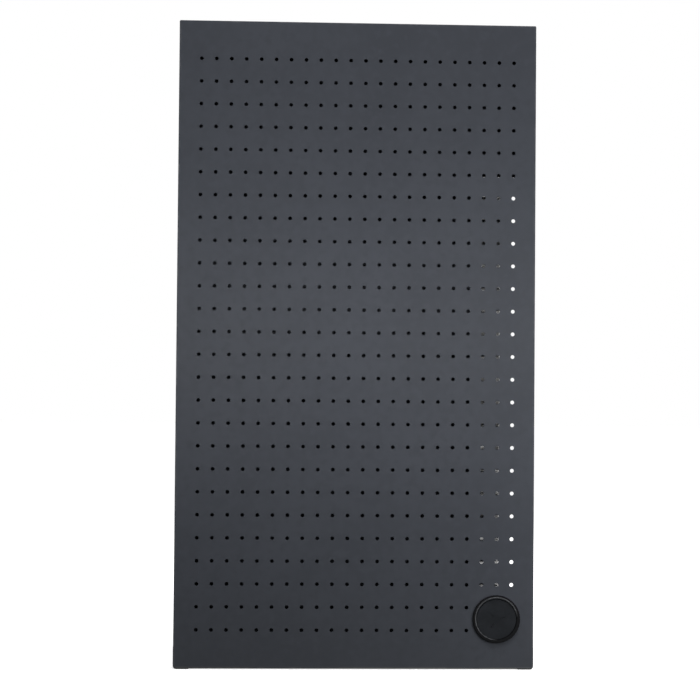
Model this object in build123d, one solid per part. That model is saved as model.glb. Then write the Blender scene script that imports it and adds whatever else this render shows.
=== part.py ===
from build123d import *
import math
import os

# A perforated, double-skinned gondola panel that hooks onto slotted uprights.
# Millimetres. +X is right and +Z up for someone facing the front, and -Y is the
# side that they see. The origin is under the middle of the whole panel.

# ---------------------------------------------------------------- driving sizes
PANEL_W = 600.0
PANEL_H = 1080.0
SHEET_T = 1.2
LIP_DEPTH = 2.4
LIP_BEND_R = 1.5
TOP_CORNER_R = 2.2
BOTTOM_CORNER_R = 5.0

COLUMNS = 22
ROWS = 26
PITCH_X = 25.0
PITCH_Z = 38.1
PEG_HOLE_D = 6.4

CUT = 1.0
SLOT_PLAY = 0.5
HOLE_PLAY = 0.1

FRAME_T = 1.5
FRAME_REAR = 25.4
FRONT_FLANGE = 12.0
REAR_FLANGE = 24.0
FRAME_GAP = 0.1
FRAME_END_GAP = 2.0
BEND_R = 2.0

COVER_T = 1.0
COVER_W = 568.0
COVER_H = 1066.0
COVER_CORNER_R = 6.0

HOOK_T = 3.0
HOOK_PITCH = 50.0
HOOK_NECK = 12.0
HOOK_DROP = 12.0
HOOK_GAP = 5.0
HOOK_TIP = 15.0
UPPER_HOOK_Z = 1000.0
LOWER_HOOK_Z = 200.0

LOCK_T = 1.5
LOCK_TRAVEL = 10.0
LOCK_GAP = 0.3

GLIDE_PROUD = 1.2
GLIDE_SIDE_PROUD = 0.4
GLIDE_H = 36.0
GLIDE_W = 26.0

OUTLET_COLUMN = 20
OUTLET_ROW = 24.5
OUTLET_CUTOUT_D = 72.0
OUTLET_FLANGE_D = 80.0
OUTLET_PROUD = 4.6

SLOT_LEFT = 205.0
SLOT_RIGHT = 272.0
SLOT_BOTTOM = 129.8
SLOT_TOP = 828.7
BRISTLE_END = 243.2
DUCT_WALL_X = 195.0

# ------------------------------------------------------------------ worked out
COVER_REAR = FRAME_REAR + COVER_T
HOOK_END = FRAME_REAR + HOOK_TIP
FRONT_Y = OUTLET_PROUD - (OUTLET_PROUD + HOOK_END) / 2
PANEL_Z = GLIDE_PROUD
PANEL_MID_Z = PANEL_Z + PANEL_H / 2
FRAME_X = PANEL_W / 2 - SHEET_T - FRAME_GAP
FRAME_LOW = PANEL_Z + SHEET_T + FRAME_GAP
FRAME_HIGH = PANEL_Z + PANEL_H - SHEET_T - FRAME_GAP
FRAME_DEPTH = FRAME_REAR - SHEET_T
WEB_IN = FRAME_X - FRAME_T
FIRST_X = -PITCH_X * (COLUMNS - 1) / 2
TOP_ROW_Z = PANEL_Z + PANEL_H / 2 + PITCH_Z * (ROWS - 1) / 2
OUTLET_X = FIRST_X + PITCH_X * OUTLET_COLUMN
OUTLET_Z = TOP_ROW_Z - PITCH_Z * OUTLET_ROW


def deep(depth):
    """The Y of a depth behind the front face of the perforated skin."""
    return FRONT_Y + depth


def row_z(row):
    return TOP_ROW_Z - PITCH_Z * row


def block(x, depth, z):
    """A bar between pairs of limits: across, behind the front face, and up."""
    size = (x[1] - x[0], depth[1] - depth[0], z[1] - z[0])
    middle = (sum(x) / 2, deep(sum(depth) / 2), sum(z) / 2)
    return Pos(*middle) * Box(*size)


def rod_y(radius, x, z, near, far):
    return Pos(x, deep((near + far) / 2), z) * Rot(90, 0, 0) * Cylinder(radius, far - near)


def rod_x(radius, depth, z, left, right):
    middle = Pos((left + right) / 2, deep(depth), z)
    return middle * Rot(0, 90, 0) * Cylinder(radius, right - left)


def rod_z(radius, x, depth, low, high):
    return Pos(x, deep(depth), (low + high) / 2) * Cylinder(radius, high - low)


def upright(sketch, depth, z=0.0):
    """A sketch drawn across and up, stood at a depth, with its origin at height z."""
    return Plane((0, deep(depth), z), x_dir=(1, 0, 0), z_dir=(0, -1, 0)) * sketch


def slab(sketch, near, far, z=0.0):
    return extrude(upright(sketch, near, z), amount=far - near, dir=(0, 1, 0))


def side_plate(outline, left, right):
    """A plate cut from an outline of (depth, z) points, between two places across."""
    points = [(deep(depth), z) for depth, z in outline]
    face = make_face(Polyline(*points, close=True))
    return extrude(Plane.YZ.offset(left) * face, amount=right - left, dir=(1, 0, 0))


def turned(points, bends=()):
    """A ring turned about the outlet's axis from (radius, depth) points, where bends
    lists (point number, radius) pairs of rounded corners."""
    face = make_face(Polyline(*points, close=True))
    for number, radius in bends:
        corner = face.vertices().sort_by_distance((*points[number], 0))[0]
        face = fillet(corner, radius)
    return Pos(OUTLET_X, FRONT_Y, OUTLET_Z) * revolve(face, Axis.Y)


def mirrored(shape):
    return mirror(shape, about=Plane.YZ)


def both_sides(make):
    """The right-hand version of a piece as made, and its left-hand twin."""
    return make(), mirrored(make())


parts = {}


# -------------------------------------------------------------- perforated skin
FIELD_INSET = 10.0


def skin_outline(inset):
    width, height = PANEL_W - 2 * inset, PANEL_H - 2 * inset
    face = Rectangle(width, height)
    face = fillet(face.vertices().group_by(Axis.Y)[0], BOTTOM_CORNER_R - inset)
    return fillet(face.vertices().group_by(Axis.Y)[-1], max(TOP_CORNER_R - inset, 0.4))


def peg_holes():
    """(x, z) of every perforation that the outlet's cut-out leaves."""
    clear_of_cutout = (OUTLET_CUTOUT_D + PEG_HOLE_D) / 2
    for row in range(ROWS):
        for column in range(COLUMNS):
            x, z = FIRST_X + PITCH_X * column, row_z(row)
            if math.hypot(x - OUTLET_X, z - OUTLET_Z) > clear_of_cutout:
                yield x, z


def perforated_field(width, height):
    def circle(x, z, diameter):
        plane = Plane((x, deep(0), z), x_dir=(1, 0, 0), z_dir=(0, -1, 0))
        return Wire.make_circle(diameter / 2, plane)

    holes = [circle(x, z, PEG_HOLE_D) for x, z in peg_holes()]
    holes.append(circle(OUTLET_X, OUTLET_Z, OUTLET_CUTOUT_D))
    outer = upright(Rectangle(width, height), 0, PANEL_MID_Z).faces()[0].outer_wire()
    return extrude(Face(outer, holes), amount=SHEET_T, dir=(0, 1, 0))


def front_sheet():
    field = (PANEL_W - 2 * FIELD_INSET, PANEL_H - 2 * FIELD_INSET)
    border = slab(skin_outline(0), 0, LIP_DEPTH, PANEL_MID_Z)
    border = fillet(border.faces().sort_by(Axis.Y)[0].edges(), LIP_BEND_R)
    border -= slab(skin_outline(SHEET_T), SHEET_T, LIP_DEPTH, PANEL_MID_Z)
    border -= slab(Rectangle(*field), 0, LIP_DEPTH, PANEL_MID_Z)
    return border + perforated_field(*field)


parts["front_sheet"] = front_sheet()


# ------------------------------------------------------------------ inner frame
COVER_HOLE_D = 4.6
THREAD_HOLE_D = 4.1
COVER_SCREW_X = FRAME_X - REAR_FLANGE + 4.8
COVER_SCREW_ROWS = 5
COVER_SCREW_MARGIN = 42.0
END_SCREW_X = 140.0
END_SCREW_INSET = 17.0
RIVET_D = 4.8
RIVET_HOLE_D = 4.9
STUD_TAIL_D = 4.0
STUD_HOLE_D = 4.1
GLIDE_SCREW_D = 3.5
GLIDE_SCREW_HOLE_D = 3.7
GLIDE_SCREW_DEPTH = 14.5
GLIDE_SCREW_UP = 22.0
GLIDE_SCREW_IN = 284.0


def channel(length):
    """A folded C: its web outside at X 0, its flanges towards +X, its depth along Y
    from the skin's back, its length up Z."""
    bar = make_face(
        Polyline(
            (0, 0),
            (FRONT_FLANGE, 0),
            (FRONT_FLANGE, FRAME_T),
            (FRAME_T, FRAME_T),
            (FRAME_T, FRAME_DEPTH - FRAME_T),
            (REAR_FLANGE, FRAME_DEPTH - FRAME_T),
            (REAR_FLANGE, FRAME_DEPTH),
            (0, FRAME_DEPTH),
            close=True,
        )
    )
    outside = bar.vertices().group_by(Axis.X)[0]
    bar = fillet(outside, BEND_R)
    inside = [
        bar.vertices().sort_by_distance((FRAME_T, y, 0))[0]
        for y in (FRAME_T, FRAME_DEPTH - FRAME_T)
    ]
    bar = fillet(inside, BEND_R - FRAME_T)
    return extrude(bar, amount=length)


def cover_screw_places():
    span = PANEL_H - 2 * COVER_SCREW_MARGIN
    for k in range(COVER_SCREW_ROWS):
        z = PANEL_Z + COVER_SCREW_MARGIN + span * k / (COVER_SCREW_ROWS - 1)
        yield -COVER_SCREW_X, z
        yield COVER_SCREW_X, z
    for z in (PANEL_Z + END_SCREW_INSET, PANEL_Z + PANEL_H - END_SCREW_INSET):
        for x in (-END_SCREW_X, 0.0, END_SCREW_X):
            yield x, z


def hook_tops(top):
    return (top, top - HOOK_PITCH)


RIVET_DEPTH = 13.5
RIVETS_UNDER_TOP = (6.0, 56.0)
STUDS_UNDER_TOP = (26.0, 76.0)
HOOK_PLATE_DROP = 92.0
SIDE_PLAY = 0.4
HOOK_SLOT_X = (WEB_IN - HOOK_T - SIDE_PLAY, WEB_IN)
LOCK_SLOT_X = (WEB_IN - HOOK_T - LOCK_GAP - LOCK_T - SIDE_PLAY, WEB_IN)
LOCK_TONGUE_H = 10.0
LOCK_TAB_Z = (LOWER_HOOK_Z - 104.0, LOWER_HOOK_Z - 90.0)


def side_channel():
    """The right-hand side of the frame, with everything that is cut in it."""
    low = FRAME_LOW + FRAME_T + FRAME_END_GAP
    high = FRAME_HIGH - FRAME_T - FRAME_END_GAP
    bar = mirror(channel(high - low), about=Plane.YZ)
    bar = Pos(FRAME_X, deep(SHEET_T), low) * bar
    rear = (FRAME_REAR - FRAME_T - CUT, FRAME_REAR + CUT)
    hook_h = HOOK_NECK + HOOK_DROP
    slots = [
        block(HOOK_SLOT_X, rear, (top - hook_h - SLOT_PLAY, top + SLOT_PLAY))
        for start in (UPPER_HOOK_Z, LOWER_HOOK_Z)
        for top in hook_tops(start)
    ]
    tongue_top = LOWER_HOOK_Z + LOCK_TRAVEL + 3 * SLOT_PLAY
    slots.append(block(LOCK_SLOT_X, rear, (LOWER_HOOK_Z - LOCK_TONGUE_H - SLOT_PLAY, tongue_top)))
    tab_x = (LOCK_SLOT_X[0], LOCK_SLOT_X[0] + LOCK_T + 2 * SIDE_PLAY)
    tab_top = LOCK_TAB_Z[1] + LOCK_TRAVEL + SLOT_PLAY
    slots.append(block(tab_x, rear, (LOCK_TAB_Z[0] - SLOT_PLAY, tab_top)))
    across = (WEB_IN - CUT, FRAME_X + CUT)
    holes = [
        rod_x(RIVET_HOLE_D / 2, RIVET_DEPTH, top - under, *across)
        for top in (UPPER_HOOK_Z, LOWER_HOOK_Z)
        for under in RIVETS_UNDER_TOP
    ]
    holes += [
        rod_x(STUD_HOLE_D / 2, RIVET_DEPTH, LOWER_HOOK_Z - under, *across)
        for under in STUDS_UNDER_TOP
    ]
    holes.append(rod_x(GLIDE_SCREW_HOLE_D / 2, GLIDE_SCREW_DEPTH, GLIDE_SCREW_UP, *across))
    holes += [
        rod_y(THREAD_HOLE_D / 2, x, z, *rear)
        for x, z in cover_screw_places()
        if x > END_SCREW_X + CUT
    ]
    return bar - slots - holes


def end_channel():
    """The bottom of the frame; its web runs on past its flanges, over the sides' ends."""
    reach = FRAME_X - REAR_FLANGE - FRAME_GAP
    bar = Rot(0, -90, 0) * channel(2 * reach)
    bar = Pos(reach, deep(SHEET_T), FRAME_LOW) * bar
    ends_x = (reach - CUT, FRAME_X)
    end = block(ends_x, (SHEET_T + BEND_R, FRAME_REAR - BEND_R), (FRAME_LOW, FRAME_LOW + FRAME_T))
    bar = bar + end + mirrored(end)
    holes = [
        rod_y(THREAD_HOLE_D / 2, x, z, FRAME_REAR - FRAME_T - CUT, FRAME_REAR + CUT)
        for x, z in cover_screw_places()
        if abs(x) < END_SCREW_X + CUT and z < PANEL_MID_Z
    ]
    return bar - holes


def bottom_channel():
    bar = end_channel()
    for x in (-GLIDE_SCREW_IN, GLIDE_SCREW_IN):
        z = (FRAME_LOW - CUT, FRAME_LOW + FRAME_T + CUT)
        bar -= rod_z(GLIDE_SCREW_HOLE_D / 2, x, GLIDE_SCREW_DEPTH, *z)
    return bar


def top_channel():
    return mirror(end_channel(), about=Plane.XY.offset(PANEL_MID_Z))


parts["side_channel_right"], parts["side_channel_left"] = both_sides(side_channel)
parts["bottom_channel"] = bottom_channel()
parts["top_channel"] = top_channel()


# ------------------------------------------------------------------- stiffeners
HAT_T = 1.0
HAT_FLANGE = 8.0
HAT_CROWN = 14.0
HAT_REAR = 23.4
HAT_END_GAP = 1.7
HAT_LEFT = -(FRAME_X - REAR_FLANGE) + HAT_END_GAP
HAT_RIGHT = DUCT_WALL_X - 11.0
FOAM_INSET = 2.0
STIFFENER_ROWS = {"upper": 5.5, "middle": 12.5, "lower": 19.5}


def hat(z):
    """A hat section lying across the skin's back between two rows of perforations."""
    half = HAT_CROWN / 2
    across = (HAT_LEFT, HAT_RIGHT)
    wall_depth = (SHEET_T, HAT_REAR)
    bar = block(across, (HAT_REAR - HAT_T, HAT_REAR), (z - half, z + half))
    for side in (-1, 1):
        wall = sorted((z + side * half, z + side * (half - HAT_T)))
        foot = sorted((z + side * (half - HAT_T), z + side * (half + HAT_FLANGE)))
        bar += block(across, wall_depth, wall)
        bar += block(across, (SHEET_T, SHEET_T + HAT_T), foot)
    return bar


def foam_strip(z):
    half = HAT_CROWN / 2 - FOAM_INSET
    across = (HAT_LEFT + FOAM_INSET / 2, HAT_RIGHT - FOAM_INSET)
    return block(across, (HAT_REAR, FRAME_REAR), (z - half, z + half))


for name, row in STIFFENER_ROWS.items():
    parts[f"stiffener_{name}"] = hat(row_z(row))
parts["foam_strips"] = Compound(children=[foam_strip(row_z(r)) for r in STIFFENER_ROWS.values()])


# ------------------------------------------------------------------- cable duct
DUCT_T = 1.2
DUCT_FLANGE = 10.0
DUCT_LOW = 140.0
DUCT_HIGH = FRAME_HIGH - REAR_FLANGE - 1.0
CLIP_PLACES = (250.0, 480.0, 710.0)
CLIP_DEPTH = 13.0
CLIP_BASE_T = 2.0
CLIP_RISE = 6.0
CLIP_HALF_W = 6.0
CLIP_HALF_H = 7.0
CLIP_TOP_R = 4.0
CLIP_TUNNEL_H = 9.0
CLIP_FOOT_D = 4.3
CLIP_FOOT_REACH = 3.0
CLIP_BARB_D = 6.1
CLIP_BARB_H = 2.0
EARTH_Z = 790.0
EARTH_DEPTH = 13.0
EARTH_STUD_D = 5.0
EARTH_REACH = 12.5
EARTH_HEAD_D = 8.0
EARTH_HEAD_T = 1.2
EARTH_WASHER_D = 10.4
EARTH_WASHER_T = 1.1
EARTH_NUT_R = 4.6
EARTH_NUT_T = 4.0


def duct_wall():
    """An L section that closes the duct off from the rest of the cavity. Its foot is
    on the skin's back, and its far edge stands against the cover."""
    x, high = DUCT_WALL_X, (DUCT_LOW, DUCT_HIGH)
    wall = block((x, x + DUCT_T), (SHEET_T, FRAME_REAR), high)
    wall += block((x, x + DUCT_FLANGE), (SHEET_T, SHEET_T + DUCT_T), high)
    through = (x - CUT, x + DUCT_T + CUT)
    for z in CLIP_PLACES:
        wall -= rod_x(CLIP_FOOT_D / 2 + HOLE_PLAY, CLIP_DEPTH, z, *through)
    return wall - rod_x(EARTH_STUD_D / 2 + HOLE_PLAY, EARTH_DEPTH, EARTH_Z, *through)


def cable_clip(z):
    """A saddle that a cable tie goes through, on a push-in foot with a barb."""
    x = DUCT_WALL_X + DUCT_T
    top = x + CLIP_BASE_T + CLIP_RISE
    depth = (CLIP_DEPTH - CLIP_HALF_W, CLIP_DEPTH + CLIP_HALF_W)
    clip = block((x, top), depth, (z - CLIP_HALF_H, z + CLIP_HALF_H))
    clip = fillet(clip.edges().filter_by(Axis.Y).group_by(Axis.X)[-1], CLIP_TOP_R)
    tunnel_z = (z - CLIP_TUNNEL_H / 2, z + CLIP_TUNNEL_H / 2)
    clip -= block((x + CLIP_BASE_T, top - CLIP_BASE_T), depth, tunnel_z)
    foot = x - DUCT_T - CLIP_FOOT_REACH
    clip += rod_x(CLIP_FOOT_D / 2, CLIP_DEPTH, z, foot, x)
    return clip + rod_x(CLIP_BARB_D / 2, CLIP_DEPTH, z, foot, foot + CLIP_BARB_H)


def earth_stud():
    """A stud with a round head behind the duct wall and a thread in the duct."""
    x = DUCT_WALL_X
    shank = rod_x(EARTH_STUD_D / 2, EARTH_DEPTH, EARTH_Z, x - EARTH_HEAD_T, x + EARTH_REACH)
    shank = chamfer(shank.edges().filter_by(GeomType.CIRCLE).sort_by(Axis.X)[-1], 0.6)
    return shank + rod_x(EARTH_HEAD_D / 2, EARTH_DEPTH, EARTH_Z, x - EARTH_HEAD_T, x)


def earth_nut():
    """A washer and a hexagon nut as one flanged nut."""
    x = DUCT_WALL_X + DUCT_T
    face = x + EARTH_WASHER_T
    washer = rod_x(EARTH_WASHER_D / 2, EARTH_DEPTH, EARTH_Z, x, face)
    hexagon = Plane.YZ.offset(face) * RegularPolygon(EARTH_NUT_R, 6)
    hexagon = extrude(hexagon, amount=EARTH_NUT_T, dir=(1, 0, 0))
    nut = washer + Pos(0, deep(EARTH_DEPTH), EARTH_Z) * hexagon
    bore = EARTH_STUD_D / 2 + HOLE_PLAY / 2
    return nut - rod_x(bore, EARTH_DEPTH, EARTH_Z, x - CUT, face + EARTH_NUT_T + CUT)


parts["duct_wall"] = duct_wall()
parts["cable_clips"] = Compound(children=[cable_clip(z) for z in CLIP_PLACES])
parts["earth_stud"] = earth_stud()
parts["earth_nut"] = earth_nut()


# ------------------------------------------------------------------- rear cover
SCREW_SHANK_D = 3.9
SCREW_LENGTH = 6.0
SCREW_HEAD_D = 8.0
SCREW_HEAD_H = 2.4
SCREW_DOME_R = 1.9
SOCKET_D = 3.4
SOCKET_DEPTH = 1.6
SLOT_MID_Z = (SLOT_BOTTOM + SLOT_TOP) / 2
SLOT_R = 2.0


def slot_area(left, right, spread, radius):
    """A sketch of the cable slot, taller than it by spread at each end."""
    width, height = right - left, SLOT_TOP - SLOT_BOTTOM + 2 * spread
    return Pos((left + right) / 2, 0) * RectangleRounded(width, height, radius)


def rear_cover():
    plate = slab(RectangleRounded(COVER_W, COVER_H, COVER_CORNER_R), FRAME_REAR, COVER_REAR, PANEL_MID_Z)
    plate -= slab(slot_area(SLOT_LEFT, SLOT_RIGHT, 0, SLOT_R), FRAME_REAR, COVER_REAR, SLOT_MID_Z)
    return plate - [
        rod_y(COVER_HOLE_D / 2, x, z, FRAME_REAR - CUT, COVER_REAR + CUT)
        for x, z in cover_screw_places()
    ]


def cover_screw(x, z):
    """A domed screw with a hexagon socket."""
    head = rod_y(SCREW_HEAD_D / 2, x, z, COVER_REAR, COVER_REAR + SCREW_HEAD_H)
    head = fillet(head.edges().filter_by(GeomType.CIRCLE).sort_by(Axis.Y)[-1], SCREW_DOME_R)
    top = COVER_REAR + SCREW_HEAD_H
    socket = slab(RegularPolygon(SOCKET_D / 2, 6), top - SOCKET_DEPTH, top + CUT, z)
    shank = rod_y(SCREW_SHANK_D / 2, x, z, COVER_REAR - SCREW_LENGTH, COVER_REAR)
    return head + shank - Pos(x, 0, 0) * socket


parts["rear_cover"] = rear_cover()
parts["cover_screws"] = Compound(children=[cover_screw(x, z) for x, z in cover_screw_places()])


# ---------------------------------------------------------- trim, brush, buffers
TRIM_T = 1.2
TRIM_GRIP = 2.4
TRIM_END_GAP = 0.2
CARRIER_LEFT = 200.0
CARRIER_RIGHT = 209.0
CARRIER_T = 1.5
CARRIER_EDGE_R = 0.6
BRISTLE_PACK_T = 1.6
BRISTLE_ROOT = 206.0
BUFFER_D = 16.0
BUFFER_H = 3.0
BUFFER_EDGE_R = 1.6
BUFFER_X = 250.0
BUFFER_Z = (60.0, 1032.0)


def slot_trim():
    """A grip edging round the slot's right-hand edge and its two ends."""
    left = CARRIER_RIGHT + TRIM_END_GAP
    near, far = FRAME_REAR - TRIM_T, COVER_REAR + TRIM_T
    grip = slot_area(SLOT_LEFT - TRIM_GRIP, SLOT_RIGHT + TRIM_GRIP, TRIM_GRIP, SLOT_R + TRIM_GRIP)
    nose = slot_area(SLOT_LEFT + TRIM_T, SLOT_RIGHT - TRIM_T, -TRIM_T, SLOT_R - TRIM_T)
    edge = slot_area(SLOT_LEFT, SLOT_RIGHT, 0, SLOT_R)
    trim = slab(grip, near, far, SLOT_MID_Z) - slab(nose, near, far, SLOT_MID_Z)
    trim -= slab(grip, FRAME_REAR, COVER_REAR, SLOT_MID_Z) - slab(edge, near, far, SLOT_MID_Z)
    reach = SLOT_RIGHT + 2 * TRIM_GRIP
    high = (SLOT_BOTTOM - 2 * TRIM_GRIP, SLOT_TOP + 2 * TRIM_GRIP)
    return trim & block((left, reach), (near - CUT, far + CUT), high)


def brush_carrier():
    """The extrusion that grips the slot's left-hand edge and holds the bristles."""
    high = (SLOT_BOTTOM + TRIM_GRIP, SLOT_TOP - TRIM_GRIP)
    depth = (FRAME_REAR - CARRIER_T, COVER_REAR + CARRIER_T)
    body = block((CARRIER_LEFT, CARRIER_RIGHT), depth, high)
    body = fillet(body.edges().filter_by(Axis.Z), CARRIER_EDGE_R)
    body -= block((CARRIER_LEFT - CUT, SLOT_LEFT), (FRAME_REAR, COVER_REAR), high)
    return body - block((BRISTLE_ROOT, CARRIER_RIGHT + CUT), bristle_depth(), high)


def bristle_depth():
    middle = (FRAME_REAR + COVER_REAR) / 2
    return (middle - BRISTLE_PACK_T / 2, middle + BRISTLE_PACK_T / 2)


def slot_brush():
    high = (SLOT_BOTTOM + TRIM_GRIP, SLOT_TOP - TRIM_GRIP)
    return block((BRISTLE_ROOT, BRISTLE_END), bristle_depth(), high)


def rear_buffer(x, z):
    disc = rod_y(BUFFER_D / 2, x, z, COVER_REAR, COVER_REAR + BUFFER_H)
    return fillet(disc.edges().filter_by(GeomType.CIRCLE).sort_by(Axis.Y)[-1], BUFFER_EDGE_R)


parts["slot_trim"] = slot_trim()
parts["brush_carrier"] = brush_carrier()
parts["slot_brush"] = slot_brush()
parts["rear_buffers"] = Compound(
    children=[rear_buffer(x, z) for z in BUFFER_Z for x in (-BUFFER_X, BUFFER_X)]
)


# ------------------------------------------------------------------ hook plates
HOOK_PLATE_DEPTH = (5.0, 22.0)
HOOK_PLATE_RISE = 4.0
HOOK_PLATE_R = 3.0
HOOK_LEAD = (1.8, 2.5)
HOOK_HEEL = (3.5, 7.0)
HOOK_SHOULDER = 4.0
RIVET_HEAD_R = 4.4
RIVET_HEAD_H = 1.0
STUD_R = 2.4
STUD_HEAD_R = 4.6
STUD_HEAD_T = 1.5
STUD_END_R = 3.4


def hook_profile(top):
    """(depth, z) points of one hook, whose lip drops behind the upright's wall."""
    root = HOOK_PLATE_DEPTH[0] + CUT
    lip_front = FRAME_REAR + HOOK_GAP
    under, end = top - HOOK_NECK, top - HOOK_NECK - HOOK_DROP
    return [
        (root, under),
        (lip_front, under),
        (lip_front, end + HOOK_LEAD[1]),
        (lip_front + HOOK_LEAD[0], end),
        (HOOK_END - HOOK_HEEL[0], end),
        (HOOK_END, end + HOOK_HEEL[1]),
        (HOOK_END, top - HOOK_SHOULDER),
        (HOOK_END - HOOK_SHOULDER, top),
        (root, top),
    ]


def hook_plate(top, studs):
    left, right = WEB_IN - HOOK_T, WEB_IN
    high = (top - HOOK_PLATE_DROP, top + HOOK_PLATE_RISE)
    plate = block((left, right), HOOK_PLATE_DEPTH, high)
    plate = fillet(plate.edges().filter_by(Axis.X), HOOK_PLATE_R)
    for each in hook_tops(top):
        plate += side_plate(hook_profile(each), left, right)
    through = (left - CUT, right + CUT)
    for under in RIVETS_UNDER_TOP:
        plate -= rod_x(RIVET_HOLE_D / 2, RIVET_DEPTH, top - under, *through)
    if studs:
        for under in STUDS_UNDER_TOP:
            plate -= rod_x(STUD_HOLE_D / 2, RIVET_DEPTH, top - under, *through)
    return plate


def domed_head(radius, height, depth, z):
    head = rod_x(radius, depth, z, FRAME_X, FRAME_X + height)
    return fillet(head.edges().filter_by(GeomType.CIRCLE).sort_by(Axis.X)[-1], height * 0.8)


def hook_rivet(z):
    shank = rod_x(RIVET_D / 2, RIVET_DEPTH, z, WEB_IN - HOOK_T, FRAME_X)
    return shank + domed_head(RIVET_HEAD_R, RIVET_HEAD_H, RIVET_DEPTH, z)


def lock_stud(z):
    """A shouldered rivet that a lock slide runs on."""
    face = WEB_IN - HOOK_T
    head_right = face - LOCK_T - 2 * LOCK_GAP
    stud = rod_x(STUD_R, RIVET_DEPTH, z, head_right, face)
    stud += rod_x(STUD_HEAD_R, RIVET_DEPTH, z, head_right - STUD_HEAD_T, head_right)
    stud += rod_x(STUD_TAIL_D / 2, RIVET_DEPTH, z, face, FRAME_X)
    return stud + domed_head(STUD_END_R, RIVET_HEAD_H - 0.2, RIVET_DEPTH, z)


def in_pairs(pieces):
    """One node of right-hand pieces and their left-hand twins."""
    return Compound(children=[*pieces, *(mirrored(piece) for piece in pieces)])


parts["hook_plate_upper_right"], parts["hook_plate_upper_left"] = both_sides(
    lambda: hook_plate(UPPER_HOOK_Z, studs=False)
)
parts["hook_plate_lower_right"], parts["hook_plate_lower_left"] = both_sides(
    lambda: hook_plate(LOWER_HOOK_Z, studs=True)
)
parts["hook_rivets"] = in_pairs(
    [hook_rivet(top - under) for top in (UPPER_HOOK_Z, LOWER_HOOK_Z) for under in RIVETS_UNDER_TOP]
)
parts["lock_studs"] = in_pairs([lock_stud(LOWER_HOOK_Z - under) for under in STUDS_UNDER_TOP])


# ------------------------------------------------------------------ lock slides
LOCK_DEPTH = (6.5, 21.0)
LOCK_TONGUE_END = FRAME_REAR + 10.0
LOCK_TAB_END = FRAME_REAR + 12.0
LOCK_RISE = 3.0
LOCK_TONGUE_R = 2.5
LOCK_TAB_R = 5.0
STUD_PLAY = 0.3


def lock_slide():
    """A plate beside the lower hooks: lifted, its tongue fills the upright's slot."""
    right = WEB_IN - HOOK_T - LOCK_GAP
    across = (right - LOCK_T, right)
    top = LOWER_HOOK_Z
    root = LOCK_DEPTH[1] - CUT
    plate = block(across, LOCK_DEPTH, (LOCK_TAB_Z[0], top + LOCK_RISE))
    tongue = block(across, (root, LOCK_TONGUE_END), (top - LOCK_TONGUE_H, top))
    tab = block(across, (root, LOCK_TAB_END), LOCK_TAB_Z)
    plate += fillet(tongue.edges().filter_by(Axis.X).group_by(Axis.Y)[-1], LOCK_TONGUE_R)
    plate += fillet(tab.edges().filter_by(Axis.X).group_by(Axis.Y)[-1], LOCK_TAB_R)
    half = STUD_R + STUD_PLAY
    depth = (RIVET_DEPTH - half, RIVET_DEPTH + half)
    through = (across[0] - CUT, across[1] + CUT)
    for under in STUDS_UNDER_TOP:
        ends = (top - under - LOCK_TRAVEL, top - under)
        plate -= block(through, depth, ends)
        for end in ends:
            plate -= rod_x(half, RIVET_DEPTH, end, *through)
    return plate


parts["lock_slide_right"], parts["lock_slide_left"] = both_sides(lock_slide)


# ---------------------------------------------------------------- corner glides
GLIDE_CORNER_R = 6.0
GLIDE_EDGE_R = 0.7
GLIDE_SCREW_HEAD_D = 6.6
GLIDE_SCREW_HEAD_H = 1.3
GLIDE_SCREW_LENGTH = 9.0
GLIDE_SCREW_SUNK = 0.1
GLIDE_OUTER = PANEL_W / 2 + GLIDE_SIDE_PROUD


def side_screw_place(x):
    """A place on the axis of the screw that goes in from the right, facing +X."""
    return Pos(x, deep(GLIDE_SCREW_DEPTH), GLIDE_SCREW_UP) * Rot(0, 90, 0)


def under_screw_place(z):
    """A place on the axis of the screw that goes in from below, facing down."""
    return Pos(GLIDE_SCREW_IN, deep(GLIDE_SCREW_DEPTH), z) * Rot(180, 0, 0)


def glide_screw():
    """A countersunk screw along Z, its head's face at 0 and its tip below."""
    head_r, shank_r = GLIDE_SCREW_HEAD_D / 2, GLIDE_SCREW_D / 2
    shank_h = GLIDE_SCREW_LENGTH - GLIDE_SCREW_SUNK
    head = Pos(0, 0, -GLIDE_SCREW_HEAD_H / 2) * Cone(shank_r, head_r, GLIDE_SCREW_HEAD_H)
    return head + Pos(0, 0, -shank_h / 2) * Cylinder(shank_r, shank_h)


def glide_screw_seat():
    """What a glide screw's hole, countersink and sunk head take out, on the same axis."""
    head_r, hole_r = GLIDE_SCREW_HEAD_D / 2 + HOLE_PLAY, GLIDE_SCREW_HOLE_D / 2
    sink = Pos(0, 0, -GLIDE_SCREW_HEAD_H / 2) * Cone(hole_r, head_r, GLIDE_SCREW_HEAD_H)
    lead_h = GLIDE_SCREW_SUNK + CUT
    lead = Pos(0, 0, lead_h / 2) * Cylinder(head_r, lead_h)
    return sink + lead + Pos(0, 0, -GLIDE_W / 4) * Cylinder(hole_r, GLIDE_W / 2)


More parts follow.
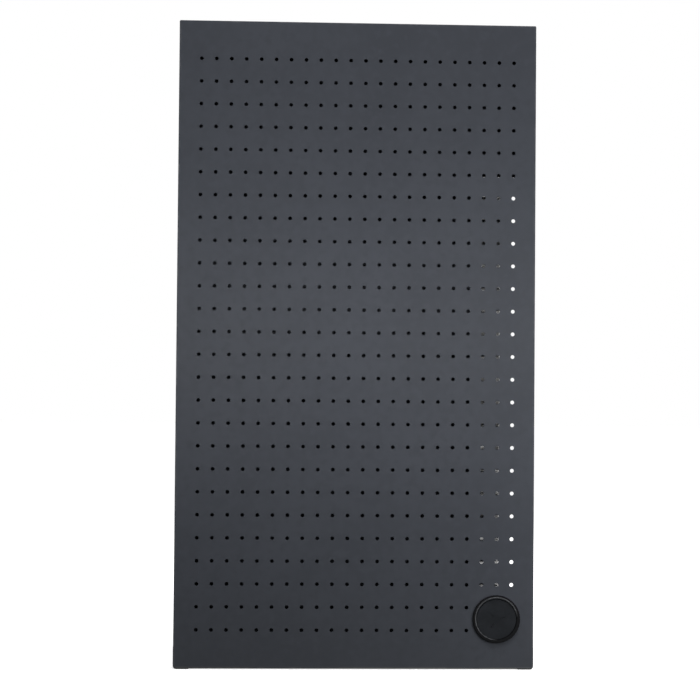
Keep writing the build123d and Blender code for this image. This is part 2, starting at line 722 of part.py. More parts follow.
def corner_glide():
    """A moulded corner that keeps the frame off the floor and off its neighbour."""
    depth = (LIP_DEPTH + FRAME_GAP, COVER_REAR)
    body = block((GLIDE_OUTER - GLIDE_W, GLIDE_OUTER), depth, (0, GLIDE_H))
    corner = body.edges().filter_by(Axis.Y).group_by(Axis.X)[-1].sort_by(Axis.Z)[0]
    body = fillet(corner, GLIDE_CORNER_R)
    body -= block((0, FRAME_X), (0, 2 * COVER_REAR), (FRAME_LOW, GLIDE_H + CUT))
    rim = body.faces().sort_by(Axis.Y)[-1].edges()
    outside = [
        edge for edge in rim if edge.center().X > FRAME_X + CUT or edge.center().Z < FRAME_LOW / 2
    ]
    body = fillet(outside, GLIDE_EDGE_R)
    body -= side_screw_place(GLIDE_OUTER - GLIDE_SCREW_SUNK) * glide_screw_seat()
    return body - under_screw_place(GLIDE_SCREW_SUNK) * glide_screw_seat()


parts["corner_glide_right"], parts["corner_glide_left"] = both_sides(corner_glide)
parts["glide_screws"] = in_pairs(
    [
        side_screw_place(GLIDE_OUTER - GLIDE_SCREW_SUNK) * glide_screw(),
        under_screw_place(GLIDE_SCREW_SUNK) * glide_screw(),
    ]
)


# ----------------------------------------------------------------- cable outlet
FLANGE_R = OUTLET_FLANGE_D / 2
GASKET_T = 0.8
GASKET_INSET = 1.0
SLEEVE_R = 35.0
SLEEVE_END = 9.0
SLEEVE_FLARE = 2.6
RIM_INNER_R = 33.4
RIM_BENDS = (3.7, 2.6)
SEAT_DEPTH = -0.3
BORE_R = 29.4
LEDGE_R = 28.2
LEDGE_DEPTH = (2.6, 4.2)
NUT_R = 42.0
NUT_INNER_R = 35.3
NUT_DEPTH = (SHEET_T, 7.2)
NUT_GRIPS = 12
NUT_GRIP_R = 3.2
NUT_EDGE_R = 1.2
CAP_R = 33.1
CAP_DEPTH = (-2.9, -0.7)
CAP_EDGE_R = 0.6
LEG_R = (25.4, 27.7)
LEG_HALF = 12.0
LUG_R = 29.1
LUG_HALF = 10.0
LUG_DEPTH = (4.5, 6.0)
FLARE_DEPTH = 6.4
OVERLAP = 0.5
LUG_ANGLES = (90.0, 210.0, 330.0)
CAP_TURN = 45.0
NOTCH_HALF = 13.0
STOP_HALF = 2.0
STOP_PLAY = 1.0
GROOVE_ANGLES = (15.0, 135.0, 237.0)
GROOVE_R = (7.0, 17.5)
GROOVE_W = 1.5
GROOVE_SUNK = 0.8


def arc_block(angle, half, radii, depth):
    """Part of a ring about the outlet's axis, centred at an angle from +X towards +Z."""
    inner, outer = radii
    near, far = depth
    ring = turned([(inner, near), (outer, near), (outer, far), (inner, far)])
    reach = 2 * outer
    points = [(0.0, 0.0)]
    for turn in (-half, 0.0, half):
        way = math.radians(angle + turn)
        points.append((reach * math.cos(way), reach * math.sin(way)))
    wedge = slab(make_face(Polyline(*points, close=True)), near, far)
    return ring & Pos(OUTLET_X, 0, OUTLET_Z) * wedge


def grommet_flange():
    """The rounded rim, the cap's seat, and the sleeve with its bayonet ledge."""
    points = [
        (FLANGE_R, -GASKET_T),
        (FLANGE_R, -OUTLET_PROUD),
        (RIM_INNER_R, -OUTLET_PROUD),
        (RIM_INNER_R, SEAT_DEPTH),
        (BORE_R, SEAT_DEPTH),
        (BORE_R, LEDGE_DEPTH[0]),
        (LEDGE_R, LEDGE_DEPTH[0]),
        (LEDGE_R, LEDGE_DEPTH[1]),
        (BORE_R, LEDGE_DEPTH[1]),
        (BORE_R, FLARE_DEPTH),
        (BORE_R + SLEEVE_FLARE, SLEEVE_END),
        (SLEEVE_R, SLEEVE_END),
        (SLEEVE_R, -GASKET_T),
    ]
    flange = turned(points, bends=[(1, RIM_BENDS[0]), (2, RIM_BENDS[1])])
    ledge = (LEDGE_R - CUT, BORE_R)
    stop = (LEDGE_R, BORE_R + OVERLAP)
    stop_depth = (LEDGE_DEPTH[1] - OVERLAP, LUG_DEPTH[1])
    for angle in LUG_ANGLES:
        flange -= arc_block(angle + CAP_TURN, NOTCH_HALF, ledge, LEDGE_DEPTH)
        beside = angle - LUG_HALF - STOP_HALF - STOP_PLAY
        flange += arc_block(beside, STOP_HALF, stop, stop_depth)
    return flange


def grommet_gasket():
    inner, outer = NUT_INNER_R, FLANGE_R - GASKET_INSET
    points = [(inner, -GASKET_T), (outer, -GASKET_T), (outer, 0), (inner, 0)]
    return turned(points)


def grommet_nut():
    near, far = NUT_DEPTH
    points = [(NUT_INNER_R, near), (NUT_R, near), (NUT_R, far), (NUT_INNER_R, far)]
    nut = turned(points, bends=[(2, NUT_EDGE_R)])
    grip_centre = NUT_R + NUT_GRIP_R / 2
    for k in range(NUT_GRIPS):
        way = math.radians(360 * k / NUT_GRIPS)
        x = OUTLET_X + grip_centre * math.cos(way)
        z = OUTLET_Z + grip_centre * math.sin(way)
        nut -= rod_y(NUT_GRIP_R, x, z, near - CUT, far + CUT)
    return nut


def grommet_cap():
    """A bayonet cap: turned, its lugs come to the ledge's notches and it pulls out."""
    near, far = CAP_DEPTH
    cap = turned([(0, near), (CAP_R, near), (CAP_R, far), (0, far)], bends=[(1, CAP_EDGE_R)])
    for angle in LUG_ANGLES:
        cap += arc_block(angle, LEG_HALF, LEG_R, (far - OVERLAP, LUG_DEPTH[1]))
        cap += arc_block(angle, LUG_HALF, (LEG_R[1] - OVERLAP, LUG_R), LUG_DEPTH)
    middle, length = sum(GROOVE_R) / 2, GROOVE_R[1] - GROOVE_R[0]
    for angle in GROOVE_ANGLES:
        groove = Rot(0, 0, angle) * Pos(middle, 0) * SlotOverall(length, GROOVE_W)
        cap -= Pos(OUTLET_X, 0, 0) * slab(groove, near - CUT, near + GROOVE_SUNK, OUTLET_Z)
    return cap


parts["grommet_flange"] = grommet_flange()
parts["grommet_gasket"] = grommet_gasket()
parts["grommet_nut"] = grommet_nut()
parts["grommet_cap"] = grommet_cap()


os.makedirs("parts", exist_ok=True)
for name, shape in parts.items():
    export_step(shape, f"parts/{name}.step")
    print(name, len(shape.solids()), "solids", round(shape.volume), "mm3")
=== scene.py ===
import math
import random

import bpy
from mathutils import Matrix, Vector


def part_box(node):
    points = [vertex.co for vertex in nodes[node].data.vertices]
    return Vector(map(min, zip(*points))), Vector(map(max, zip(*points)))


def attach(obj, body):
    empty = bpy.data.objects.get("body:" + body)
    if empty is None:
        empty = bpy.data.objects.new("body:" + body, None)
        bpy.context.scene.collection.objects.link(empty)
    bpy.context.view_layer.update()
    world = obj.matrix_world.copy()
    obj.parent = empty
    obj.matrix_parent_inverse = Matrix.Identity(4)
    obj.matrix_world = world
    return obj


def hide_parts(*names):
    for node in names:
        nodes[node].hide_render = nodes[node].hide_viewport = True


# The looks of a perforated gondola panel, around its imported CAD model. Metres, with
# +X right and +Z up for someone facing the front, and -Y the side that they see.
# Colours are linear RGB.

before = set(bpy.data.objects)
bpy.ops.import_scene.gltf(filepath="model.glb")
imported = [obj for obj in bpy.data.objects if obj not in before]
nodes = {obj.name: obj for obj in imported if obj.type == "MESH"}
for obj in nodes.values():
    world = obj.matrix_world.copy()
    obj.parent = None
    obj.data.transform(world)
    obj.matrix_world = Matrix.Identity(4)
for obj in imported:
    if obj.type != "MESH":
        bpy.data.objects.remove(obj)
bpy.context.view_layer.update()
MM = 0.001

# ----------------------------------------------------------------------------- camera
CAMERA_AT = (-0.141, -3.0, 0.4466)
# How far the camera is turned right, tilted up and rolled, in degrees.
CAMERA_YAW = 2.506
CAMERA_PITCH = 1.628
CAMERA_ROLL = 0.469
CAMERA_CLIP = (0.05, 100)
LENS_MM = 91.903
SENSOR_MM = 36.0


def camera_axes():
    """The camera's right, up and forward, turned from level along +Y."""
    yaw, pitch, roll = (math.radians(a) for a in (CAMERA_YAW, CAMERA_PITCH, CAMERA_ROLL))
    forward = Vector((
        math.sin(yaw) * math.cos(pitch),
        math.cos(yaw) * math.cos(pitch),
        math.sin(pitch),
    ))
    level = Vector((math.cos(yaw), -math.sin(yaw), 0))
    above = level.cross(forward)
    right = math.cos(roll) * level + math.sin(roll) * above
    return right, right.cross(forward), forward


def add_camera():
    data = bpy.data.cameras.new("camera")
    data.sensor_width = SENSOR_MM
    data.lens = LENS_MM
    data.clip_start, data.clip_end = CAMERA_CLIP
    camera = bpy.data.objects.new("camera", data)
    bpy.context.scene.collection.objects.link(camera)
    right, up, forward = camera_axes()
    turn = Matrix((right, up, -forward)).transposed()
    camera.matrix_world = Matrix.Translation(CAMERA_AT) @ turn.to_4x4()
    bpy.context.scene.camera = camera


# ----------------------------------------------------------------------------- lights
PANEL_MIDDLE = (0, 0, 0.56)
# Each softbox: its place, what it points at, its width and height, its watts, and
# whether glossy surfaces mirror it.
SOFTBOXES = {
    "middle_key": ((0, -0.5, 0.585), (0, 0, 0.585), (1.3, 0.12), 2.32, False),
    "low_fill": ((0.75, -0.6, 0.2), (0.26, 0, 0.12), (0.4, 0.4), 2.4, False),
    "top_key": ((0.3, -0.9, 2.6), (0.05, 0, 0.9), (1.4, 0.9), 42, False),
    "rear_key": ((1.5, 2.2, 2.2), PANEL_MIDDLE, (1.6, 1.4), 40, True),
    "rear_fill": ((-1.8, 2.0, 1.0), PANEL_MIDDLE, (1.4, 1.8), 16, True),
    "left_fill": ((-2.4, 0.45, 1.0), PANEL_MIDDLE, (0.5, 1.6), 14, False),
    "right_fill": ((2.4, 0.45, 1.0), PANEL_MIDDLE, (0.5, 1.6), 14, False),
}
FILL_COLOUR = (0.95, 0.98, 1.0)
FILL_STRENGTH = 0.055
SHEEN_STRENGTH = 0.28


def add_softbox(name, at, target, size, watts, mirrored):
    data = bpy.data.lights.new(name, "AREA")
    data.shape = "RECTANGLE"
    data.size, data.size_y = size
    data.energy = watts
    lamp = bpy.data.objects.new(name, data)
    bpy.context.scene.collection.objects.link(lamp)
    aim = (Vector(target) - Vector(at)).to_track_quat("-Z", "Y")
    lamp.matrix_world = Matrix.Translation(at) @ aim.to_matrix().to_4x4()
    lamp.visible_camera = False
    lamp.visible_glossy = mirrored


def add_softboxes():
    for name, settings in SOFTBOXES.items():
        add_softbox(name, *settings)


def add_world():
    """White to the eye, a weaker sheen in glossy surfaces, and a faint even fill."""
    world = bpy.data.worlds.new("studio")
    world.use_nodes = True
    tree = world.node_tree
    tree.nodes.clear()
    path = tree.nodes.new("ShaderNodeLightPath")

    def background(colour, strength):
        node = tree.nodes.new("ShaderNodeBackground")
        node.inputs["Color"].default_value = (*colour, 1)
        node.inputs["Strength"].default_value = strength
        return node.outputs[0]

    def where(ray, inside, outside):
        node = tree.nodes.new("ShaderNodeMixShader")
        tree.links.new(path.outputs[ray], node.inputs["Fac"])
        tree.links.new(outside, node.inputs[1])
        tree.links.new(inside, node.inputs[2])
        return node.outputs[0]

    fill = background(FILL_COLOUR, FILL_STRENGTH)
    light = where("Is Glossy Ray", background(FILL_COLOUR, SHEEN_STRENGTH), fill)
    seen = where("Is Camera Ray", background((1, 1, 1), 1.0), light)
    out = tree.nodes.new("ShaderNodeOutputWorld")
    tree.links.new(seen, out.inputs["Surface"])
    bpy.context.scene.world = world


# --------------------------------------------------------------------- material maker
# The levels of noise at which a colour is at its darkest, as it was, and at its lightest.
CLOUD_DARK = 0.28
CLOUD_MIDDLE = 0.5
CLOUD_LIGHT = 0.72
# The levels at which a surface is at its smoothest and at its roughest.
ROUGH_CLOUD = (0.3, 0.7)
SCRATCH_SHARE = 0.4


class Look:
    """One procedural material, built up from the object's own coordinates in metres.
    Masks run from 0 to 1."""

    def __init__(self, name, colour, roughness, metallic=0.0):
        self.material = bpy.data.materials.new(name)
        self.material.use_nodes = True
        self.tree = self.material.node_tree
        self.tree.nodes.clear()
        self.shader = self.add("BsdfPrincipled")
        out = self.add("OutputMaterial")
        self.link(self.shader.outputs[0], out.inputs["Surface"])
        self.place = self.add("TexCoord").outputs["Object"]
        self.colour = (*colour, 1)
        self.roughness = roughness
        self.shader.inputs["Base Color"].default_value = self.colour
        self.set(Roughness=roughness, Metallic=metallic)

    def add(self, kind, **settings):
        node = self.tree.nodes.new("ShaderNode" + kind)
        for key, value in settings.items():
            setattr(node, key, value)
        return node

    def link(self, a, b):
        self.tree.links.new(a, b)

    def set(self, **values):
        for key, value in values.items():
            self.shader.inputs[key.replace("_", " ")].default_value = value
        return self

    def math(self, operation, a, b=None):
        node = self.add("Math", operation=operation)
        for socket, value in zip(node.inputs, (a, b)):
            if value is None:
                continue
            if isinstance(value, (int, float)):
                socket.default_value = value
            else:
                self.link(value, socket)
        return node.outputs[0]

    def times(self, a, b):
        return self.math("MULTIPLY", a, b)

    def minus(self, a, b):
        return self.math("SUBTRACT", a, b)

    def axis(self, letter):
        split = self.add("SeparateXYZ")
        self.link(self.place, split.inputs[0])
        return split.outputs[letter]

    def mapped(self, place, kind, value):
        node = self.add("Mapping")
        node.inputs[kind].default_value = value
        self.link(place, node.inputs["Vector"])
        return node.outputs[0]

    def noise(self, scale, detail=2.0, stretch=None, turn=None):
        """Smooth noise, with scale in cycles a metre. A turn, in degrees about Y, leans
        what the stretch draws out."""
        place = self.place
        if turn:
            place = self.mapped(place, "Rotation", (0, math.radians(turn), 0))
        if stretch:
            place = self.mapped(place, "Scale", stretch)
        node = self.add("TexNoise")
        node.inputs["Scale"].default_value = scale
        node.inputs["Detail"].default_value = detail
        self.link(place, node.inputs["Vector"])
        return node.outputs["Fac"]

    def ramp(self, value, low, high, to_low=0.0, to_high=1.0):
        """A value's way from low to high, clamped, as to_low to to_high."""
        node = self.add("MapRange")
        ends = {"From Min": low, "From Max": high, "To Min": to_low, "To Max": to_high}
        for name, number in ends.items():
            node.inputs[name].default_value = number
        self.link(value, node.inputs["Value"])
        return node.outputs[0]

    def tint(self, mask, colour, share=1.0):
        """Lays a share of another colour over the base where the mask is 1."""
        if share < 1:
            mask = self.times(mask, share)
        node = self.add("Mix", data_type="RGBA")
        socket = self.shader.inputs["Base Color"]
        if socket.links:
            self.link(socket.links[0].from_socket, node.inputs["A"])
        else:
            node.inputs["A"].default_value = self.colour
        self.link(mask, node.inputs["Factor"])
        node.inputs["B"].default_value = (*colour, 1)
        self.link(node.outputs["Result"], socket)
        return self

    def vary_colour(self, scale, amount, detail=3.0, stretch=None):
        """Lightens and darkens the base colour by a share of itself."""
        lighter = [min(1, c * (1 + amount)) for c in self.colour[:3]]
        darker = [c * (1 - amount) for c in self.colour[:3]]
        cloud = self.noise(scale, detail, stretch)
        self.tint(self.ramp(cloud, CLOUD_MIDDLE, CLOUD_LIGHT), lighter)
        return self.tint(self.ramp(cloud, CLOUD_MIDDLE, CLOUD_DARK), darker)

    def vary_roughness(self, scale, amount, detail=3.0, stretch=None):
        cloud = self.noise(scale, detail, stretch)
        low, high = self.roughness - amount, self.roughness + amount
        rough = self.ramp(cloud, *ROUGH_CLOUD, low, high)
        self.link(rough, self.shader.inputs["Roughness"])
        return self

    def bump(self, scale, strength, height, detail=2.0, stretch=None):
        """Adds surface relief of about that height."""
        node = self.add("Bump")
        node.inputs["Strength"].default_value = strength
        node.inputs["Distance"].default_value = height
        self.link(self.noise(scale, detail, stretch), node.inputs["Height"])
        socket = self.shader.inputs["Normal"]
        if socket.links:
            self.link(socket.links[0].from_socket, node.inputs["Normal"])
        self.link(node.outputs[0], socket)
        return self

    def scratch(self, colour, turn, line_scale, stretch, lines, patch_scale, patches):
        """Fine level lines, leaned by turn degrees, that show only in some patches. Lines
        and patches say between which levels of their noise each comes in."""
        drawn = self.noise(line_scale, detail=1.0, stretch=(stretch, 1, 1), turn=turn)
        line = self.ramp(drawn, *lines)
        patch = self.ramp(self.noise(patch_scale), *patches)
        return self.tint(self.times(line, patch), colour, share=SCRATCH_SHARE)

    def near_edges(self, low, high, reach):
        """1 along a box's edges, fading to 0 at reach from them. Two of the distances to
        the faces are small at an edge, so the middle one of the three is what counts."""
        gaps = []
        for letter, a, b in zip("XYZ", low, high):
            place = self.axis(letter)
            gaps.append(self.math("MINIMUM", self.minus(place, a), self.minus(b, place)))
        across, deep, up = gaps
        larger = self.math("MINIMUM", self.math("MAXIMUM", across, deep), up)
        middle = self.math("MAXIMUM", self.math("MINIMUM", across, deep), larger)
        return self.ramp(middle, 0, reach, 1, 0)


# ----------------------------------------------------------------- powder-coated steel
GRAPHITE = (0.0605, 0.0655, 0.078)
COAT_GLOSS = 0.36
SCRATCHED = (0.14, 0.145, 0.155)
# The lean of each set of scratches, in degrees, and the scale of its patches.
SCRATCHES = ((12, 4.1), (-31, 5.3), (78, 6.2))
FRAME_RUB_REACH = 2.5 * MM
FRONT_RUB_REACH = 4.0 * MM
RUBBED = (0.15, 0.155, 0.165)
# How far above the sheet's foot its painted highlight begins to fade, and where it ends.
FOOT_HIGHLIGHT_BAND = (1.6 * MM, 3.6 * MM)
FOOT_HIGHLIGHT = (0.135, 0.139, 0.137)
DUST_TOP = 0.16
DUST = (0.11, 0.11, 0.112)


def powder_coat(name, roughness=0.47):
    """Satin powder coat: clouded, faintly flecked, with an orange-peel skin."""
    look = Look(name, GRAPHITE, roughness)
    look.vary_colour(7.0, 0.09, detail=4.0)
    look.vary_colour(70.0, 0.06)
    look.vary_roughness(16.0, 0.05)
    look.bump(620.0, 0.35, 0.06 * MM)
    look.bump(2600.0, 0.18, 0.02 * MM)
    return look.set(Specular_IOR_Level=COAT_GLOSS)


def handled_coat(name, low, high):
    """Powder coat that has been carried about: it is faintly wavy, has a few fine
    scratches in patches, and is rubbed along the edges of the box that it covers."""
    look = powder_coat(name, roughness=0.5)
    look.bump(4.0, 0.3, 1.2 * MM, detail=1.0)
    for turn, patch_scale in SCRATCHES:
        look.scratch(
            SCRATCHED,
            turn,
            line_scale=380.0,
            stretch=0.03,
            lines=(0.69, 0.77),
            patch_scale=patch_scale,
            patches=(0.56, 0.68),
        )
    edges = look.near_edges(low, high, FRAME_RUB_REACH)
    worn = look.ramp(look.noise(70.0, detail=4.0), 0.48, 0.6)
    return look.tint(look.times(edges, worn), SCRATCHED, share=0.5)


def front_coat():
    """The skin's coat, rubbed along its folds, with a painted highlight along its foot, and
    dusty low down.
    """
    look = powder_coat("graphite_coat_front")
    low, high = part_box("front_sheet")
    edges = look.near_edges(low, high, FRONT_RUB_REACH)
    worn = look.ramp(look.noise(90.0, detail=4.0), 0.46, 0.62)
    look.tint(look.times(edges, worn), RUBBED, share=0.45)
    # Painted highlight: an uneven lighter band along the folded foot, standing in for light
    # the fold catches from below.
    foot = look.ramp(look.minus(look.axis("Z"), low.z), *FOOT_HIGHLIGHT_BAND, 1, 0)
    uneven = look.ramp(look.noise(12.0, detail=3.0), 0.4, 0.6, 0.15, 0.8)
    look.tint(look.times(foot, uneven), FOOT_HIGHLIGHT)
    low_down = look.ramp(look.axis("Z"), 0, DUST_TOP, 1, 0)
    return look.tint(look.times(low_down, look.noise(28.0, detail=5.0)), DUST, share=0.1)


# ----------------------------------------------------------------- metals and plastics
CAP_BLACK = (0.0170, 0.0186, 0.0218)
CAP_SCUFFED = (0.055, 0.057, 0.061)
RIM_BLACK = (0.005, 0.005, 0.006)
RIM_HIGHLIGHT = (0.13, 0.133, 0.14)
# The ring of painted highlight on the rim's crest: its radius, and how far above the rim's
# middle it is centred, where light from above puts the glint.
CREST_R = 34.9 * MM
CREST_HIGHLIGHT_RISE = 1.6 * MM
# How far from that ring the painted highlight begins to fade, and where it ends.
CREST_HIGHLIGHT_FADE = (0.2 * MM, 1.2 * MM)
# The width, just inside the ring, over which the inner slope's painted light fades into the
# polished black.
LIT_SLOPE_FADE = 0.8 * MM
# Light is painted on the rim from the upper left, and shade at the lower right: how much a
# step up counts against a step left, and the distances that way between which the light
# comes in.
RIM_LIGHT_LEAN = 0.85
RIM_LIT_SIDE = (-33 * MM, -20 * MM)
# Painted shade on the bristles' upper end: its colour, and the heights between which it
# comes in.
SHADED_BRISTLES = (0.02, 0.02, 0.022)
SHADED_BRISTLES_Z = (0.735, 0.79)


def zinc(name, colour=(0.52, 0.53, 0.545), roughness=0.34):
    """Plated steel with spangle-like clouds and fine rolling lines."""
    look = Look(name, colour, roughness, metallic=1.0)
    look.vary_colour(180.0, 0.16, detail=4.0)
    look.vary_roughness(260.0, 0.10, detail=4.0)
    return look.bump(900.0, 0.2, 0.03 * MM, stretch=(1, 1, 0.06))


def aluminium():
    """A mill-finish extrusion with die lines along its length."""
    look = Look("mill_aluminium", (0.66, 0.67, 0.68), 0.32, metallic=1.0)
    look.vary_colour(60.0, 0.06, stretch=(8, 8, 0.15))
    look.vary_roughness(900.0, 0.09, stretch=(1, 1, 0.01))
    return look.bump(2200.0, 0.35, 0.03 * MM, stretch=(1, 1, 0.004))


def brass():
    look = Look("plain_brass", (0.68, 0.47, 0.2), 0.28, metallic=1.0)
    look.vary_colour(500.0, 0.14, detail=4.0)
    return look.vary_roughness(900.0, 0.08)


def moulded(name, colour, roughness, grain=0.25, fleck=0.12, spread=0.06):
    """Moulded plastic or rubber with a fine spark-eroded grain."""
    look = Look(name, colour, roughness)
    look.vary_colour(240.0, fleck, detail=4.0)
    look.vary_roughness(90.0, spread)
    look.bump(3200.0, grain, 0.03 * MM)
    return look.set(Specular_IOR_Level=0.3)


def foam():
    look = moulded("grey_foam", (0.075, 0.075, 0.08), 0.92, grain=0.6, fleck=0.3)
    return look.bump(900.0, 0.8, 0.3 * MM, detail=3.0)


def bristle():
    """Nylon filaments, each a little lighter or darker than the next, with painted shade
    high up.
    """
    look = Look("grey_bristle", (0.085, 0.088, 0.098), 0.5)
    look.vary_colour(1500.0, 0.35, stretch=(0.02, 1, 1))
    # Painted shade: the bristles darken towards the slot's upper end.
    look.tint(look.ramp(look.axis("Z"), *SHADED_BRISTLES_Z), SHADED_BRISTLES)
    return look.set(Specular_IOR_Level=0.5)


def outlet_rim():
    """Polished black outside. The inner slope is painted lighter and the crest carries a
    painted highlight, both giving way to painted shade at the lower right."""
    look = moulded("black_rim", RIM_BLACK, 0.14, grain=0.05, spread=0.03)
    low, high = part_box("grommet_flange")
    across = look.minus(look.axis("X"), (low.x + high.x) / 2)
    up = look.minus(look.axis("Z"), (low.z + high.z) / 2 + CREST_HIGHLIGHT_RISE)
    squares = look.math("ADD", look.math("POWER", across, 2), look.math("POWER", up, 2))
    radius = look.math("SQRT", squares)
    # Painted light from the upper left; the lower right stays dark as painted shade.
    lit_side = look.ramp(look.minus(look.times(up, RIM_LIGHT_LEAN), across), *RIM_LIT_SIDE)
    # Painted light: the inner slope is tinted the cap's lighter black.
    inner = look.ramp(radius, CREST_R - LIT_SLOPE_FADE, CREST_R, 1, 0)
    look.tint(look.times(inner, lit_side), CAP_BLACK)
    # Painted highlight: a lighter ring on the crest, set high where light from above would
    # put its glint.
    off_crest = look.math("ABSOLUTE", look.minus(radius, CREST_R))
    crest = look.ramp(off_crest, *CREST_HIGHLIGHT_FADE, 1, 0)
    uneven = look.ramp(look.noise(160.0, detail=3.0), 0.25, 0.6, 0.45, 1)
    return look.tint(look.times(look.times(crest, uneven), lit_side), RIM_HIGHLIGHT)


def outlet_cap():
    """Dull black plastic, blotched where fingers press it, with a few fine scuffs."""
    look = moulded("black_cap", CAP_BLACK, 0.5, grain=0.3)
    look.vary_colour(42.0, 0.2, detail=2.0)
    return look.scratch(
        CAP_SCUFFED,
        turn=24,
        line_scale=500.0,
        stretch=0.06,
        lines=(0.68, 0.78),
        patch_scale=30.0,
        patches=(0.5, 0.65),
    )


# ------------------------------------------------------------------------- CAD pieces
CHANNELS = ("side_channel_left", "side_channel_right", "top_channel", "bottom_channel")


def named(start):
    return [name for name in nodes if name.startswith(start)]


def around(names):
    """The lowest and highest corners of several nodes together."""
    lows, highs = zip(*(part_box(name) for name in names))
    return [min(axis) for axis in zip(*lows)], [max(axis) for axis in zip(*highs)]


def dress(look, *names):
    for name in names:
        slots = nodes[name].data.materials
        slots.clear()
        slots.append(look.material)


def dress_steel():
    dress(front_coat(), "front_sheet")
    dress(handled_coat("graphite_coat_frame", *around(CHANNELS)), *CHANNELS)
    dress(handled_coat("graphite_coat_cover", *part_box("rear_cover")), "rear_cover")
    inner_coat = powder_coat("graphite_coat_inner", roughness=0.6)
    dress(inner_coat, "duct_wall", *named("stiffener"))


def dress_metal():
    fittings = ("hook_rivets", "lock_studs", "glide_screws", "earth_stud")
    dress(zinc("zinc_plate"), *named("hook_plate"), *fittings)
    dress(zinc("black_passivated", (0.03, 0.031, 0.034), 0.38), "cover_screws")
    dress(zinc("yellow_passivated", (0.58, 0.46, 0.24), 0.36), *named("lock_slide"))
    dress(aluminium(), "brush_carrier")
    dress(brass(), "earth_nut")


def dress_plastic():
    dress(outlet_rim(), "grommet_flange")
    dress(outlet_cap(), "grommet_cap")
    dress(moulded("black_nylon", (0.014, 0.014, 0.015), 0.55), "grommet_nut", "cable_clips")
    dress(moulded("black_glide", (0.013, 0.013, 0.014), 0.5), *named("corner_glide"))
    dress(moulded("black_edging", (0.017, 0.017, 0.018), 0.45), "slot_trim")
    rubber = moulded("black_rubber", (0.013, 0.013, 0.013), 0.75, grain=0.5)
    dress(rubber, "grommet_gasket", "rear_buffers")
    dress(foam(), "foam_strips")


# --------------------------------------------------------------------------- bristles
BRISTLE_R = 0.15 * MM
BRISTLE_STEP = 0.40 * MM
BRISTLE_SIDES = 3
# Where along its length a filament may bend, and how unevenly the filaments end.
BRISTLE_JOINTS = (0.0, 0.55, 1.0)
BRISTLE_ENDS = (-0.6 * MM, 0.9 * MM)
# Where the layers lie, as shares of the brush's depth.
BRISTLE_LAYERS = (0.15, 0.38, 0.62, 0.85)
BRISTLE_SEED = 11
# The heights above which there is one more layer, and the filaments splay.
DENSE_FROM = 0.70
FLARE_FROM = 0.69
# How much longer the splayed filaments grow towards the top.
FLARE = 1.5 * MM
# How far the tips stray, as a rule, and how much further up and down at the top.
DRIFT_Y = 0.1 * MM
DRIFT_Z = 0.15 * MM
FLARE_DRIFT_Z = 0.8 * MM


def filament(start, reach, drift):
    """Rings of points along one filament, which bends by drift (Y, Z) at its tip."""
    for t in BRISTLE_JOINTS:
        bend = t * t
        x, y, z = start.x + reach * t, start.y + drift[0] * bend, start.z + drift[1] * bend
        for side in range(BRISTLE_SIDES):
            angle = 2 * math.pi * side / BRISTLE_SIDES
            yield (x, y + BRISTLE_R * math.cos(angle), z + BRISTLE_R * math.sin(angle))


def filament_faces(first):
    """The sides and the two ends of the filament whose points begin at first."""
    rings = len(BRISTLE_JOINTS)
    for ring in range(rings - 1):
        for side in range(BRISTLE_SIDES):
            a = first + ring * BRISTLE_SIDES + side
            b = first + ring * BRISTLE_SIDES + (side + 1) % BRISTLE_SIDES
            yield (a, b, b + BRISTLE_SIDES, a + BRISTLE_SIDES)
    last = first + (rings - 1) * BRISTLE_SIDES
    yield tuple(first + side for side in reversed(range(BRISTLE_SIDES)))
    yield tuple(last + side for side in range(BRISTLE_SIDES))


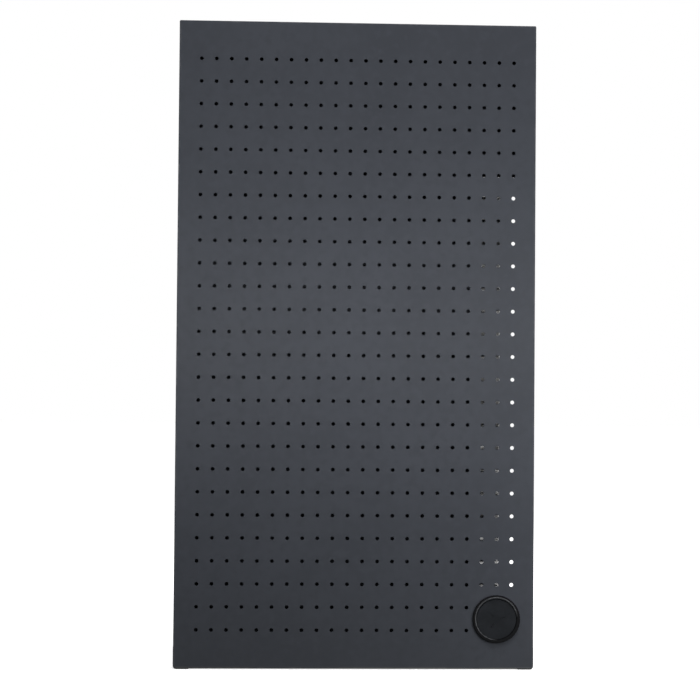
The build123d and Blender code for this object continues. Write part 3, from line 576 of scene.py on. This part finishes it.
def bristle_mesh():
    """Filaments held at their left ends, in layers that a little light comes through.
    Towards the slot's upper end there is one more layer, and they splay."""
    low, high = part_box("slot_brush")
    rng = random.Random(BRISTLE_SEED)
    vertices, faces = [], []
    count = int((high.z - low.z) / BRISTLE_STEP)
    for layer, share in enumerate(BRISTLE_LAYERS):
        y = low.y + share * (high.y - low.y)
        for k in range(count):
            z = low.z + (k + rng.random()) * (high.z - low.z) / count
            if layer == 0 and z < DENSE_FROM:
                continue
            splay = max(0, z - FLARE_FROM) / (high.z - FLARE_FROM)
            reach = high.x - low.x + rng.uniform(*BRISTLE_ENDS) + FLARE * splay
            drift = (rng.gauss(0, DRIFT_Y), rng.gauss(0, DRIFT_Z + FLARE_DRIFT_Z * splay))
            first = len(vertices)
            vertices.extend(filament(Vector((low.x, y, z)), reach, drift))
            faces.extend(filament_faces(first))
    mesh = bpy.data.meshes.new("bristles")
    mesh.from_pydata(vertices, [], faces)
    mesh.validate()
    mesh.update()
    mesh.shade_smooth()
    return mesh


def add_bristles():
    mesh = bristle_mesh()
    mesh.materials.append(bristle().material)
    piece = bpy.data.objects.new("bristles", mesh)
    bpy.context.scene.collection.objects.link(piece)
    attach(piece, "panel")
    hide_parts("slot_brush")


# ------------------------------------------------------------------------------ floor
FLOOR_HALF = 30.0
FLOOR_WHITE = (0.9, 0.9, 0.9)
# The floor's glow near the panel and far from it, and the distances where each holds.
FLOOR_GLOW = (0.55, 0.95)
GLOW_REACH = (0.4, 2.2)


def floor_look():
    """Near white, with a glow that grows away from the panel and hides the horizon."""
    look = Look("studio_floor_white", FLOOR_WHITE, 0.7)
    look.vary_colour(3.0, 0.01)
    look.set(Emission_Color=(1, 1, 1, 1))
    away = look.add("VectorMath", operation="LENGTH")
    look.link(look.place, away.inputs[0])
    glow = look.ramp(away.outputs["Value"], *GLOW_REACH, *FLOOR_GLOW)
    look.link(glow, look.shader.inputs["Emission Strength"])
    return look


def add_floor():
    mesh = bpy.data.meshes.new("studio_floor")
    signs = ((-1, -1), (1, -1), (1, 1), (-1, 1))
    corners = [(x * FLOOR_HALF, y * FLOOR_HALF, 0) for x, y in signs]
    mesh.from_pydata(corners, [], [(0, 1, 2, 3)])
    mesh.materials.append(floor_look().material)
    floor = bpy.data.objects.new("studio_floor", mesh)
    bpy.context.scene.collection.objects.link(floor)
    floor.visible_diffuse = False
    floor.visible_glossy = False


# -------------------------------------------------------------------------- the scene
bpy.context.scene.view_settings.view_transform = "Standard"
add_camera()
add_world()
add_softboxes()
add_floor()
dress_steel()
dress_metal()
dress_plastic()
add_bristles()
